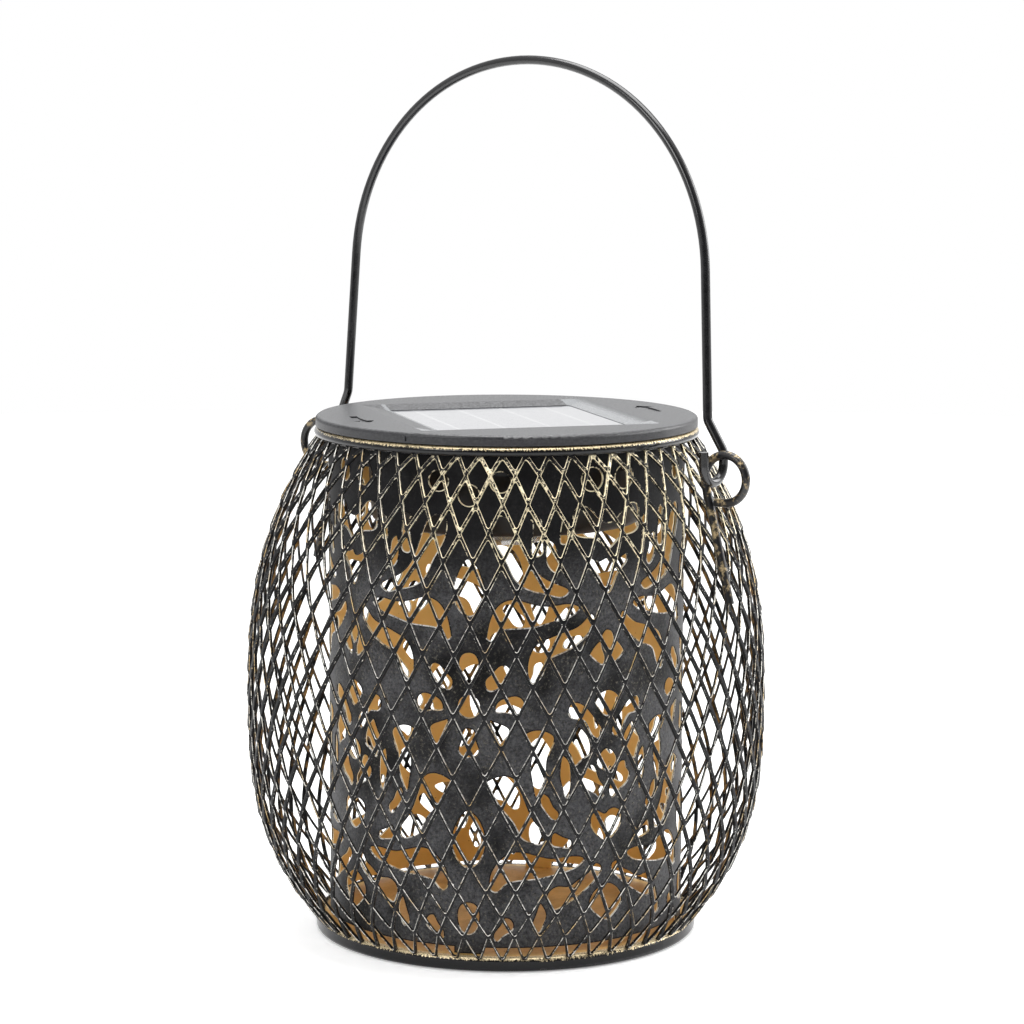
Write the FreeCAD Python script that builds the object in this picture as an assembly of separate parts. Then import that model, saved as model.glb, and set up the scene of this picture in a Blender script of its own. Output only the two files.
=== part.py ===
import FreeCAD, Part
import math
import os
from FreeCAD import Rotation, Vector

# Solar lantern: an expanded-metal barrel around a pierced tin sleeve, with a lift-out solar
# light module as its lid and a wire bail. Millimetres, +Z up. The origin is the centre of the
# face that the lantern stands on, and X runs along the bail's hinge line.

# --- barrel of expanded metal ---
BARREL_RADIUS = 75.4
END_RADIUS = 55.5
WAIST_Z = 70.0
LOWER_SPAN = 66.5
UPPER_SPAN = 73.5
LOWER_POWER = 3.0
UPPER_POWER = 2.45
DIAMONDS = 54
ROWS = 17
FIRST_ROW_Z = 139.6
LAST_ROW_Z = 10.7
TOP_END_Z = 145.2
FOOT_END_Z = 2.6
FIRST_BOND_DEG = -61.63
STRAND_THICK = 0.9
BOND_HALF_HEIGHT = 1.3
BOND_HALF_WIDTH = 0.5

# --- foot ---
RING_RADIUS = 55.5
RING_INNER = 53.0
RING_HEIGHT = 4.0
PLATE_THICK = 1.0

# --- pierced sleeve ---
SLEEVE_RADIUS = 51.3
SLEEVE_THICK = 0.6
SLEEVE_BOTTOM = 5.9
SLEEVE_TOP = 144.0
SLEEVE_PERIOD_DEG = 90.0
FLOWER_DEG = -65.5
SLEEVE_TABS = 4
SLEEVE_TAB_DEG = 9.0

# --- collar ---
COLLAR_RADIUS = 55.4
COLLAR_BOTTOM = 144.0
COLLAR_TOP = 146.8
LIP_RADIUS = 48.4
LIP_TOP = 145.8
REBATE_RADIUS = 52.8
NOTCH_RADIUS = 50.3
NOTCH_DEG = 17.0
LUGS = 3
LUG_FIRST_DEG = 20.0

# --- seal ---
SEAL_INNER = 50.5
SEAL_OUTER = 52.5
SEAL_BOTTOM = 146.1
SEAL_TOP = 146.8

# --- lid ---
LID_RADIUS = 55.0
LID_BOTTOM = 147.1
LID_TOP = 150.0
LID_EDGE = 1.0
RECESS_DEG = 52.6
RECESS_TOP_HALF = 34.7
RECESS_FLOOR_HALF = 28.0
RECESS_FLOOR_Z = 148.9
POCKET_HALF = 27.5
POCKET_FLOOR_Z = 146.2
TRAY_HALF = 30.0
TRAY_BOTTOM = 145.0
PANEL_SIDE = 54.6
PANEL_BOTTOM = 146.3
PANEL_TOP = 148.8
ARROW_RADIUS = 44.6
ARROW_DEPTH = 0.4
TICK_DEG = -84.7
POST_RING = 42.6
POST_RADIUS = 2.8
POST_BOTTOM = 139.6

# --- light module ---
TUB_UPPER_RADIUS = 47.5
TUB_SHOULDER_Z = 138.0
TUB_LOWER_RADIUS = 40.0
TUB_FLOOR_RADIUS = 39.0
TUB_BOTTOM = 119.6
TUB_WALL = 1.6
TUB_FLOOR = 1.8
LUG_RADIUS = 49.7
LUG_BOTTOM = 141.5
LUG_TOP = 143.4
LUG_DEG = 12.0
LENS_HOLE_RADIUS = 12.6
LENS_RADIUS = 12.3
LENS_TIP_Z = 113.2
BATTERY_RADIUS = 5.25
BATTERY_LENGTH = 44.5
BATTERY_Y = 20.5
BATTERY_Z = 128.5
BOARD_BOTTOM = 123.4
BOARD_THICK = 1.6
SWITCH_Y = -31.5
RIB_TOP = 132.2
SLOT_HALF = 3.4
LEAD_RADIUS = 0.6

# --- bail and its eyes ---
HINGE_Y = 4.0
HINGE_Z = 141.9
HOOK_X = 68.5
HOOK_Y = 3.5
HOOK_RADIUS = 4.8
HOOK_DROP = 2.0
HOOK_TURN_DEG = 2.0
HOOK_TIP_Z = 144.0
BAIL_WIRE = 1.3
BAIL_LEAN_DEG = 1.9
BAIL_SET_BACK = 2.7
CROWN_Z = 251.1
CROWN_RADIUS = 64.5
CROWN_HALF_DEG = 25.0
SIDE_RADIUS = 60.2
SIDE_END_DEG = 87.0
JOGGLE_TOP_Z = 152.0
JOGGLE_FOOT_Z = 143.4
JOGGLE_BEND = 4.0
EYE_WIRE = 1.2
EYE_RADIUS = 6.7
EYE_X = 72.1
EYE_Z = 136.3
EYE_FOOT_X = 74.1
EYE_FOOT_Z = 101.3
EYE_END_X = 69.0
EYE_END_DEG = -88.0

UP = Vector(0, 0, 1)
ORIGIN = Vector(0, 0, 0)


def at(radius, degrees, z):
    """The point at this radius, turn about Z and height."""
    turn = math.radians(degrees)
    return Vector(radius * math.cos(turn), radius * math.sin(turn), z)


def barrel_radius(z):
    """Outer radius of the barrel at height z."""
    if z < WAIST_Z:
        share = ((WAIST_Z - z) / LOWER_SPAN) ** LOWER_POWER
    else:
        share = ((z - WAIST_Z) / UPPER_SPAN) ** UPPER_POWER
    return BARREL_RADIUS - (BARREL_RADIUS - END_RADIUS) * share


def tube(z_low, z_high, outer, inner):
    """A plain ring about Z."""
    height = z_high - z_low
    ring = Part.makeCylinder(outer, height, Vector(0, 0, z_low))
    return ring.cut(Part.makeCylinder(inner, height, Vector(0, 0, z_low)))


def revolve(points):
    """The solid that a closed outline of (radius, z) makes about Z. A point given as a pair
    of points is an arc through the first to the second."""
    edges = []
    here = Vector(points[0][0], 0, points[0][1])
    start = here
    for point in points[1:] + points[:1]:
        if isinstance(point[0], tuple):
            middle, end = (Vector(p[0], 0, p[1]) for p in point)
            edges.append(Part.Arc(here, middle, end).toShape())
        else:
            end = Vector(point[0], 0, point[1])
            edges.append(Part.LineSegment(here, end).toShape())
        here = end
    assert here.isEqual(start, 1e-9)
    return Part.Face(Part.Wire(edges)).revolve(ORIGIN, UP, 360)


def sector(inner, outer, z_low, z_high, middle_deg, width_deg):
    """A ring's sector, centred on middle_deg."""
    bottom = Part.makeCylinder(outer, z_high - z_low, Vector(0, 0, z_low), UP, width_deg)
    bottom = bottom.cut(Part.makeCylinder(inner, z_high - z_low, Vector(0, 0, z_low)))
    bottom.rotate(ORIGIN, UP, middle_deg - width_deg / 2)
    return bottom


def box(low, high):
    """A box between two corners."""
    size = [b - a for a, b in zip(low, high)]
    return Part.makeBox(*size, Vector(*low))


def square(half, z, turn_deg):
    """A square wire about Z, with its sides' normals at turn_deg and every 90 degrees on."""
    reach = half * math.sqrt(2)
    corners = [at(reach, turn_deg + 45 + 90 * k, z) for k in range(4)]
    return Part.makePolygon(corners + corners[:1])


def square_block(half, z_low, z_high, turn_deg):
    """A square block about Z."""
    return Part.Face(square(half, z_low, turn_deg)).extrude(Vector(0, 0, z_high - z_low))


def wire_solid(route, radius):
    """Round wire along a route of edges that run on smoothly from one to the next."""
    spine = Part.Wire(route)
    first = route[0]
    start = first.valueAt(first.FirstParameter)
    heading = first.tangentAt(first.FirstParameter)
    section = Part.Wire([Part.Circle(start, heading, radius).toShape()])
    return spine.makePipeShell([section], True, True, 2)


def rounded_route(points, radius):
    """Straight runs through the points, with an arc of this radius at each corner."""
    edges = []
    here = points[0]
    for before, corner, after in zip(points, points[1:], points[2:]):
        back = (before - corner).normalize()
        on = (after - corner).normalize()
        half_angle = math.acos(max(-1.0, min(1.0, back.dot(on)))) / 2
        cut = radius / math.tan(half_angle)
        centre = corner + (back + on).normalize() * (radius / math.sin(half_angle))
        enter = corner + back * cut
        leave = corner + on * cut
        middle = centre + (corner - centre).normalize() * radius
        edges.append(Part.LineSegment(here, enter).toShape())
        edges.append(Part.Arc(enter, middle, leave).toShape())
        here = leave
    edges.append(Part.LineSegment(here, points[-1]).toShape())
    return edges


# ----------------------------------------------------------------------------- barrel


def row_heights():
    """Heights of the rows of bonds, from the top: equal steps along the barrel's wall between
    the first row and the last, and one more row inside each end ring."""
    steps = 400
    heights = [FIRST_ROW_Z + (LAST_ROW_Z - FIRST_ROW_Z) * k / steps for k in range(steps + 1)]
    along = [0.0]
    for a, b in zip(heights, heights[1:]):
        along.append(along[-1] + math.hypot(b - a, barrel_radius(b) - barrel_radius(a)))
    rows = []
    for k in range(ROWS):
        wanted = along[-1] * k / (ROWS - 1)
        i = min(max(j for j, s in enumerate(along) if s <= wanted + 1e-9), steps - 1)
        share = (wanted - along[i]) / (along[i + 1] - along[i])
        rows.append(heights[i] + (heights[i + 1] - heights[i]) * share)
    return [TOP_END_Z] + rows + [FOOT_END_Z]


def mesh_barrel():
    """Expanded metal: rows of upright bonds, each joined to the four nearest bonds of the rows
    above and below by slanting strands. Every diamond opening is cut straight through along
    its own radius, so its walls are flat."""
    rows = row_heights()
    last = len(rows) - 1
    step = 360.0 / DIAMONDS

    def corner(row, k, name, depth):
        """One corner of the bond at half-step k, on the outside (depth 0) or inside (1)."""
        turn = FIRST_BOND_DEG + k * step / 2
        middle = rows[row]
        slope = barrel_radius(middle + 0.5) - barrel_radius(middle - 0.5)
        rise = BOND_HALF_HEIGHT / math.hypot(1.0, slope)
        top = at(barrel_radius(middle + rise), turn, middle + rise)
        foot = at(barrel_radius(middle - rise), turn, middle - rise)
        hole_turn = turn
        if name == "top":
            point = top
        elif name == "foot":
            point = foot
        else:
            way = -1 if name == "left" else 1
            tangent = at(1.0, turn + 90, 0)
            point = (top + foot) * 0.5 + tangent * (way * BOND_HALF_WIDTH)
            hole_turn = turn + way * step / 2
        return point - at(STRAND_THICK * depth, hole_turn, 0)

    def flat(points):
        return Part.Face(Part.makePolygon(points + points[:1]))

    def column(k):
        """The faces of the bonds at half-step k, and of the strands that rise from them. Even
        rows have their bonds at even half-steps, and odd rows at odd ones."""
        faces = []
        for row in range(k % 2, last + 1, 2):
            for depth in (0, 1):
                left, right, top, foot = (
                    corner(row, k, name, depth) for name in ("left", "right", "top", "foot")
                )
                if row > 0:
                    faces.append(flat([left, right, top]))
                if row < last:
                    faces.append(flat([left, foot, right]))
            if row in (0, last):
                ends = [corner(row, k, name, depth) for name, depth in
                        (("left", 0), ("right", 0), ("right", 1), ("left", 1))]
                faces.append(flat(ends))
            if row == 0:
                continue
            for way, near, far in ((1, "right", "left"), (-1, "left", "right")):
                for depth in (0, 1):
                    a = corner(row, k, "top", depth)
                    b = corner(row, k, near, depth)
                    c = corner(row - 1, k + way, "foot", depth)
                    d = corner(row - 1, k + way, far, depth)
                    faces.append(flat([a, b, c]))
                    faces.append(flat([a, c, d]))
                for start, end in (("top", far), (near, "foot")):
                    wall = [corner(row, k, start, 0), corner(row - 1, k + way, end, 0),
                            corner(row - 1, k + way, end, 1), corner(row, k, start, 1)]
                    faces.append(flat(wall))
        return faces

    pair = column(0) + column(1)
    faces = []
    for k in range(DIAMONDS):
        for face in pair:
            copy = face.copy()
            copy.rotate(ORIGIN, UP, step * k)
            faces.append(copy)
    shell = Part.Compound(faces)
    shell.sewShape(1e-4)
    return Part.Solid(shell.Shells[0])


# ------------------------------------------------------------------------------- foot


def base_ring():
    """Rolled bead that the lantern stands on."""
    soft = 1.2
    inset = soft * (1 - math.sqrt(0.5))
    outer = RING_RADIUS
    return revolve([
        (RING_INNER, 0),
        (outer - soft, 0),
        ((outer - inset, inset), (outer, soft)),
        (outer, RING_HEIGHT - soft),
        ((outer - inset, RING_HEIGHT - inset), (outer - soft, RING_HEIGHT)),
        (RING_INNER, RING_HEIGHT),
    ])


def base_plate():
    """Thin disc that closes the ring, flush with its top."""
    return Part.makeCylinder(RING_INNER, PLATE_THICK, Vector(0, 0, RING_HEIGHT - PLATE_THICK))


# ----------------------------------------------------------------------------- sleeve

# Openings of the pierced pattern, as (degrees, z) points that a closed smooth outline runs
# through. The flower's own openings are given by their right halves, from top to bottom, in
# degrees from its upright axis, and the rose's in degrees from the rose's axis. The pattern is
# mirrored about both axes.
ON_FLOWER = [
    [(0, 115.2), (2.2, 113.6), (3.9, 110.2), (4.9, 106.3), (4.2, 103.0), (2.2, 100.4), (0, 99.5)],
    [(0, 89.3), (2.0, 88.7), (3.1, 86.6), (2.6, 83.8), (1.3, 81.0), (0, 79.8)],
    [(0, 68.1), (1.9, 67.0), (2.3, 64.5), (3.2, 61.8), (1.7, 60.1), (0, 59.8)],
    [(0, 44.7), (2.0, 43.6), (4.2, 40.6), (5.3, 36.4), (4.5, 32.4), (2.3, 29.5), (0, 28.5)],
    [(0, 18.6), (2.6, 17.6), (3.5, 15.0), (3.0, 12.0), (1.4, 9.9), (0, 9.5)],
]
ON_ROSE = [
    [(0, 124.5), (4.0, 126.3), (8.4, 129.4), (11.6, 128.8), (12.4, 125.4), (11.6, 122.0),
     (8.6, 121.0), (5.4, 120.6), (2.6, 119.0), (0, 117.4)],
    [(0, 114.2), (3.6, 113.9), (7.2, 115.2), (7.2, 113.4), (5.1, 111.6), (2.8, 109.0),
     (1.5, 106.4), (0, 105.0)],
    [(0, 94.6), (1.9, 93.5), (2.4, 91.6), (1.5, 89.4), (0, 88.2)],
    [(0, 77.5), (2.8, 76.7), (4.5, 74.9), (3.2, 72.8), (1.5, 71.0), (0, 70.3)],
    [(0, 61.0), (2.4, 59.8), (3.7, 57.2), (2.2, 55.4), (0, 54.8)],
    [(0, 42.8), (3.6, 43.6), (5.6, 42.2), (5.5, 39.2), (3.0, 36.3), (0, 34.9)],
    [(0, 22.4), (3.6, 21.2), (6.2, 17.2), (3.4, 13.8), (0, 12.0)],
]
BESIDE_FLOWER = [
    # top row, in front of the lamp
    [(7.0, 125.0), (9.2, 118.4), (11.8, 114.5), (13.8, 110.6), (16.4, 108.0), (20.4, 106.4),
     (25.0, 105.4), (30.0, 105.0), (31.2, 106.2), (29.0, 107.7), (24.5, 109.5), (21.0, 111.8),
     (18.6, 114.8), (16.8, 118.5), (15.2, 122.5), (13.0, 126.0), (9.5, 127.4)],
    [(19.2, 126.4), (19.6, 121.0), (20.6, 116.2), (22.2, 116.6), (22.9, 119.6), (22.4, 124.0),
     (20.8, 127.4)],
    [(24.6, 120.4), (24.0, 115.6), (25.2, 112.8), (27.4, 111.6), (28.7, 113.2), (27.4, 116.6),
     (26.0, 120.0)],
    [(29.2, 126.0), (28.4, 122.0), (29.2, 119.4), (30.4, 119.6), (30.8, 122.4), (30.4, 125.6)],
    # the two arches over the flower
    [(5.6, 93.8), (6.3, 97.2), (7.8, 100.8), (10.5, 103.4), (13.8, 104.2), (18.5, 103.2),
     (26.0, 102.2), (32.8, 102.4), (34.8, 101.3), (33.6, 100.0), (27.0, 98.0), (19.0, 96.4),
     (12.6, 96.1), (9.9, 95.4), (8.6, 93.5), (6.9, 92.7)],
    [(18.3, 84.8), (18.9, 88.2), (21.2, 91.6), (24.8, 93.2), (30.0, 94.8), (36.0, 97.2),
     (39.4, 99.2), (40.2, 97.8), (38.6, 94.8), (34.0, 91.2), (29.0, 89.0), (25.2, 87.4),
     (23.6, 84.8), (21.9, 81.9), (19.9, 80.9), (18.7, 82.4)],
    # petals
    [(5.2, 80.4), (6.6, 78.7), (9.0, 79.4), (10.9, 81.6), (12.8, 84.5), (11.6, 85.8),
     (9.4, 85.5), (7.0, 83.2)],
    [(8.3, 73.6), (9.6, 75.9), (12.2, 76.9), (15.0, 77.2), (17.0, 75.8), (16.9, 73.5),
     (15.0, 72.2), (11.5, 72.7)],
    [(7.0, 70.3), (9.8, 69.4), (12.6, 67.8), (11.9, 65.0), (10.6, 62.9), (9.2, 64.8),
     (7.7, 67.8)],
    # leaves between the flower and the rose
    [(38.6, 88.0), (40.6, 90.5), (42.4, 91.4), (42.9, 89.6), (43.9, 87.2), (43.4, 85.0),
     (40.8, 86.1)],
    [(31.4, 73.0), (32.8, 74.7), (35.8, 74.2), (38.8, 71.8), (41.6, 68.6), (43.1, 65.8),
     (41.8, 64.2), (40.0, 64.9), (38.2, 67.6), (35.8, 70.0), (33.4, 70.2)],
    [(35.4, 67.5), (37.2, 65.8), (38.9, 62.2), (38.4, 59.8), (36.0, 58.6), (33.7, 57.1),
     (32.6, 59.4), (31.3, 62.0), (33.0, 64.8)],
    [(17.7, 66.6), (20.5, 67.5), (24.0, 67.1), (26.6, 65.4), (25.6, 62.0), (24.3, 58.6),
     (24.0, 54.6), (22.6, 51.2), (21.0, 48.8), (20.2, 51.5), (19.4, 56.0), (19.8, 60.0),
     (19.9, 63.2)],
    [(30.0, 59.8), (31.4, 58.4), (32.2, 54.0), (31.9, 50.0), (30.9, 48.0), (29.8, 50.2),
     (28.8, 53.6), (28.9, 57.6)],
    [(38.2, 56.8), (40.2, 56.4), (41.4, 54.0), (42.6, 51.8), (43.9, 50.2), (44.0, 48.2),
     (43.0, 46.9), (41.0, 48.2), (38.4, 49.6), (36.3, 51.4), (35.9, 53.2), (37.2, 54.8)],
    [(6.0, 53.2), (8.4, 54.3), (12.0, 54.7), (14.6, 53.6), (16.2, 50.6), (17.8, 46.8),
     (19.6, 43.0), (22.0, 40.0), (23.6, 37.6), (22.8, 35.4), (19.6, 35.8), (16.6, 37.2),
     (15.2, 39.6), (13.4, 42.4), (10.2, 45.8), (7.6, 49.6)],
    [(23.6, 49.4), (25.2, 48.2), (26.6, 45.6), (28.3, 43.5), (27.4, 41.9), (25.6, 42.7),
     (23.7, 45.0), (22.5, 47.5)],
    [(26.0, 36.4), (27.0, 38.2), (29.6, 37.0), (32.6, 35.3), (32.4, 34.2), (29.0, 34.1),
     (26.6, 34.6)],
    # the two arches under the flower
    [(7.0, 22.6), (6.8, 26.2), (9.0, 30.0), (13.4, 33.0), (20.0, 32.4), (26.0, 31.0),
     (34.0, 31.2), (36.8, 30.2), (35.6, 28.9), (29.0, 26.8), (22.0, 25.5), (15.0, 25.0),
     (11.0, 23.6), (8.6, 21.8)],
    [(25.0, 18.6), (25.2, 21.4), (27.8, 22.9), (31.5, 22.7), (35.5, 24.7), (39.0, 26.6),
     (41.2, 28.5), (43.0, 27.5), (41.8, 24.8), (38.0, 21.8), (33.0, 18.8), (28.5, 16.7),
     (26.2, 16.4)],
    [(22.8, 18.2), (23.9, 16.6), (24.4, 14.6), (23.4, 12.2), (21.8, 10.1), (20.4, 10.9),
     (20.5, 13.8), (21.6, 16.4)],
    [(12.0, 14.4), (13.7, 13.4), (14.0, 11.6), (12.7, 10.2), (10.8, 9.2), (8.8, 7.7),
     (8.0, 8.6), (8.9, 11.0), (10.4, 12.8)],
]
# Round holes: degrees from the flower's axis, z, radius.
ROUND_HOLES = [
    (0, 133.0, 3.0),
    (0, 74.2, 3.2),
    (9.8, 136.8, 2.9),
    (-9.8, 136.8, 2.9),
    (39.0, 137.0, 3.3),
    (-39.0, 137.0, 3.3),
]
TOOL_INNER = 44.0
TOOL_DEPTH = 10.0


def sleeve_tool(edge_of, middle_deg):
    """A cutter for one opening: the outline's flat face, pushed straight out through the
    sleeve. edge_of makes the closed outline from a function that places a point."""
    outward = at(1.0, middle_deg, 0)
    across = at(1.0, middle_deg + 90, 0)

    def place(degrees, z):
        reach = SLEEVE_RADIUS * math.sin(math.radians(degrees - middle_deg))
        return outward * TOOL_INNER + across * reach + UP * z

    face = Part.Face(Part.Wire([edge_of(place)]))
    return face.extrude(outward * TOOL_DEPTH)


def opening_tool(outline, axis_deg, mirrored):
    """The cutter for an outline given in degrees from an axis, or for its mirror image."""
    way = -1 if mirrored else 1
    turns = [degrees for degrees, _ in outline]
    middle = axis_deg + way * (min(turns) + max(turns)) / 2

    def edge(place):
        curve = Part.BSplineCurve()
        points = [place(axis_deg + way * degrees, z) for degrees, z in outline]
        curve.interpolate(Points=points, PeriodicFlag=True)
        return curve.toShape()

    return sleeve_tool(edge, middle)


def whole(half):
    """A closed outline from its right half."""
    return half + [(-degrees, z) for degrees, z in half[-2:0:-1]]


def hole_tool(degrees, z, radius):
    return sleeve_tool(
        lambda place: Part.Circle(place(degrees, z), at(1.0, degrees, 0), radius).toShape(),
        degrees,
    )


def pattern_sleeve():
    """Pierced tin sleeve: four repeats of a flower and a rose among scrolls. It stands on the
    base plate on small tabs."""
    tools = []
    for repeat in range(round(360 / SLEEVE_PERIOD_DEG)):
        flower = FLOWER_DEG + repeat * SLEEVE_PERIOD_DEG
        rose = flower + SLEEVE_PERIOD_DEG / 2
        tools += [opening_tool(whole(half), flower, False) for half in ON_FLOWER]
        tools += [opening_tool(whole(half), rose, False) for half in ON_ROSE]
        for outline in BESIDE_FLOWER:
            tools += [opening_tool(outline, flower, mirror) for mirror in (False, True)]
        tools += [hole_tool(flower + turn, z, radius) for turn, z, radius in ROUND_HOLES]
    gap_deg = 360 / SLEEVE_TABS - SLEEVE_TAB_DEG
    for k in range(SLEEVE_TABS):
        middle = FLOWER_DEG + 360 / SLEEVE_TABS * (k + 0.5)
        tools.append(sector(SLEEVE_RADIUS - 2, SLEEVE_RADIUS + 2, RING_HEIGHT - 1,
                            SLEEVE_BOTTOM, middle, gap_deg))
    sheet = tube(RING_HEIGHT, SLEEVE_TOP, SLEEVE_RADIUS, SLEEVE_RADIUS - SLEEVE_THICK)
    return sheet.cut(tools)


# --------------------------------------------------------------------- collar and seal


def top_collar():
    """Beaded collar with an inner lip. Its notches let the lid's lugs drop through."""
    middle = (COLLAR_BOTTOM + COLLAR_TOP) / 2
    soft = (COLLAR_TOP - COLLAR_BOTTOM) / 2
    ring = revolve([
        (LIP_RADIUS, COLLAR_BOTTOM),
        (COLLAR_RADIUS - soft, COLLAR_BOTTOM),
        ((COLLAR_RADIUS, middle), (COLLAR_RADIUS - soft, COLLAR_TOP)),
        (REBATE_RADIUS, COLLAR_TOP),
        (REBATE_RADIUS, LIP_TOP),
        (LIP_RADIUS, LIP_TOP),
    ])
    for k in range(LUGS):
        turn = LUG_FIRST_DEG + 360 / LUGS * k
        ring = ring.cut(sector(LIP_RADIUS - 1, NOTCH_RADIUS, COLLAR_BOTTOM - 1, LIP_TOP + 1,
                               turn, NOTCH_DEG))
    return ring


def seal_ring():
    """Flat rubber ring in the collar's rebate, which the lid turns on."""
    return tube(SEAL_BOTTOM, SEAL_TOP, SEAL_OUTER, SEAL_INNER)


# -------------------------------------------------------------------------------- lid


def arrow_mark(middle_deg):
    """Curved arrow sunk into the lid: which way it turns."""
    half_width = 1.1
    z_low = LID_TOP - ARROW_DEPTH
    shaft = sector(ARROW_RADIUS - half_width, ARROW_RADIUS + half_width, z_low, LID_TOP + 1,
                   middle_deg, 16.0)
    neck = middle_deg + 7.0
    tip = middle_deg + 13.0
    corners = [
        at(ARROW_RADIUS - 3.2, neck, z_low),
        at(ARROW_RADIUS, tip, z_low),
        at(ARROW_RADIUS + 3.2, neck, z_low),
    ]
    head = Part.Face(Part.makePolygon(corners + corners[:1])).extrude(UP * (ARROW_DEPTH + 1))
    return shaft.fuse(head)


def post_places():
    """The lid's four screw posts stand outside the tray's sides."""
    return [at(POST_RING, RECESS_DEG + 90 * k, 0) for k in range(4)]


def cap_cover():
    """Lid: a disc with a sloping square recess for the panel, a tray under it and four posts."""
    height = LID_TOP - LID_BOTTOM
    disc = Part.makeCylinder(LID_RADIUS, height, Vector(0, 0, LID_BOTTOM))
    rim = [e for e in disc.Edges if isinstance(e.Curve, Part.Circle)
           and abs(e.Curve.Center.z - LID_TOP) < 1e-6]
    lid = disc.makeFillet(LID_EDGE, rim)
    lid = lid.fuse(square_block(TRAY_HALF, TRAY_BOTTOM, LID_BOTTOM + 1, RECESS_DEG))
    for place in post_places():
        post = Part.makeCylinder(POST_RADIUS, LID_BOTTOM - POST_BOTTOM + 0.5,
                                 place + UP * POST_BOTTOM)
        lid = lid.fuse(post)
    dish = Part.makeLoft([
        square(RECESS_FLOOR_HALF, RECESS_FLOOR_Z, RECESS_DEG),
        square(RECESS_TOP_HALF, LID_TOP, RECESS_DEG),
    ], True, True)
    lid = lid.cut(dish)
    lid = lid.cut(square_block(POCKET_HALF, POCKET_FLOOR_Z, LID_TOP, RECESS_DEG))
    lid = lid.cut(Part.makeCylinder(2.2, 4, Vector(0, -12, TRAY_BOTTOM - 1)))
    for place in post_places():
        lid = lid.cut(Part.makeCylinder(1.35, 6.4, place + UP * (POST_BOTTOM - 0.5)))
    for turn in (-126.0, 54.0):
        lid = lid.cut(arrow_mark(turn))
    tick = box((LID_RADIUS - 0.6, -0.5, LID_BOTTOM + 0.5), (LID_RADIUS + 0.4, 0.5, LID_TOP - 1.0))
    tick.rotate(ORIGIN, UP, TICK_DEG)
    return lid.fuse(tick).removeSplitter()


def solar_panel():
    """Square solar panel, which lies in the lid's pocket."""
    return square_block(PANEL_SIDE / 2, PANEL_BOTTOM, PANEL_TOP, RECESS_DEG)


# ----------------------------------------------------------------------- light module


def door_outline(grow):
    """Battery door's plan as boxes, grown all round by grow."""
    low, high = TUB_BOTTOM - 1, TUB_BOTTOM + TUB_FLOOR
    plate = box((-24.5 - grow, 14.8 - grow, low), (24.5 + grow, 26.4 + grow, high))
    ear = box((-4.5 - grow, 20.0, low), (4.5 + grow, 32.5 + grow, high))
    return plate.fuse(ear)


def module_housing():
    """Black tub under the lid, which holds the battery, the circuit board and the lamp."""
    lower_top = TUB_SHOULDER_Z
    inside_z = TUB_BOTTOM + TUB_FLOOR
    soft = 2.0
    inset = soft * (1 - math.sqrt(0.5))
    tub = revolve([
        (0, TUB_BOTTOM),
        (TUB_FLOOR_RADIUS - soft, TUB_BOTTOM),
        ((TUB_FLOOR_RADIUS - inset, TUB_BOTTOM + inset), (TUB_FLOOR_RADIUS, TUB_BOTTOM + soft)),
        (TUB_LOWER_RADIUS, lower_top),
        (TUB_UPPER_RADIUS, lower_top),
        (TUB_UPPER_RADIUS, LID_BOTTOM),
        (TUB_UPPER_RADIUS - TUB_WALL, LID_BOTTOM),
        (TUB_UPPER_RADIUS - TUB_WALL, POST_BOTTOM),
        (TUB_LOWER_RADIUS - TUB_WALL, POST_BOTTOM),
        (TUB_FLOOR_RADIUS - TUB_WALL, inside_z),
        (0, inside_z),
    ])
    for k in range(LUGS):
        tub = tub.fuse(sector(TUB_UPPER_RADIUS - 0.8, LUG_RADIUS, LUG_BOTTOM, LUG_TOP,
                              LUG_FIRST_DEG + 360 / LUGS * k, LUG_DEG))
    boss = Part.makeCylinder(3.0, 5.6, Vector(0, 29.5, inside_z))
    rib = box((-1, 31.5, inside_z), (1, 37.8, inside_z + 5.6))
    tub = tub.fuse([boss, rib])
    for x in (-12, 12):
        tub = tub.fuse(Part.makeCylinder(2.5, BOARD_BOTTOM - inside_z + 0.5,
                                         Vector(x, -22, inside_z - 0.5)))
    for low_x in (-29.2, 23.2):
        tub = tub.fuse(box((low_x, 16.0, inside_z - 0.5), (low_x + 1.6, 25.0, RIB_TOP)))
    tub = tub.cut(door_outline(0.2))
    tub = tub.cut(Part.makeCylinder(1.0, 6.0, Vector(0, 29.5, inside_z - 1)))
    tub = tub.cut(Part.makeCylinder(LENS_HOLE_RADIUS, 4, Vector(0, 0, TUB_BOTTOM - 1)))
    tub = tub.cut(box((-SLOT_HALF, SWITCH_Y - 1.6, TUB_BOTTOM - 1),
                      (SLOT_HALF, SWITCH_Y + 1.6, inside_z + 1)))
    for place in post_places():
        tub = tub.cut(Part.makeCylinder(1.5, 3.0, place + UP * (TUB_SHOULDER_Z - 0.5)))
    return tub


def screw(place, head_radius, head_low, head_high, shaft_radius, shaft_top):
    """Self-tapping screw, driven upwards, with a crosshead."""
    head = Part.makeCylinder(head_radius, head_high - head_low, place + UP * head_low)
    for size in ((head_radius * 1.2, 0.5), (0.5, head_radius * 1.2)):
        slot = box((-size[0] / 2, -size[1] / 2, head_low - 1),
                   (size[0] / 2, size[1] / 2, head_low + 0.7))
        slot.translate(place)
        head = head.cut(slot)
    shaft = Part.makeCylinder(shaft_radius, shaft_top - head_high, place + UP * head_high)
    return head.fuse(shaft)


def housing_screws():
    """Four screws from the tub's shoulder up into the lid's posts."""
    return Part.Compound([
        screw(place, 2.3, TUB_SHOULDER_Z - 1.6, TUB_SHOULDER_Z, 1.2, 144.5)
        for place in post_places()
    ])


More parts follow.
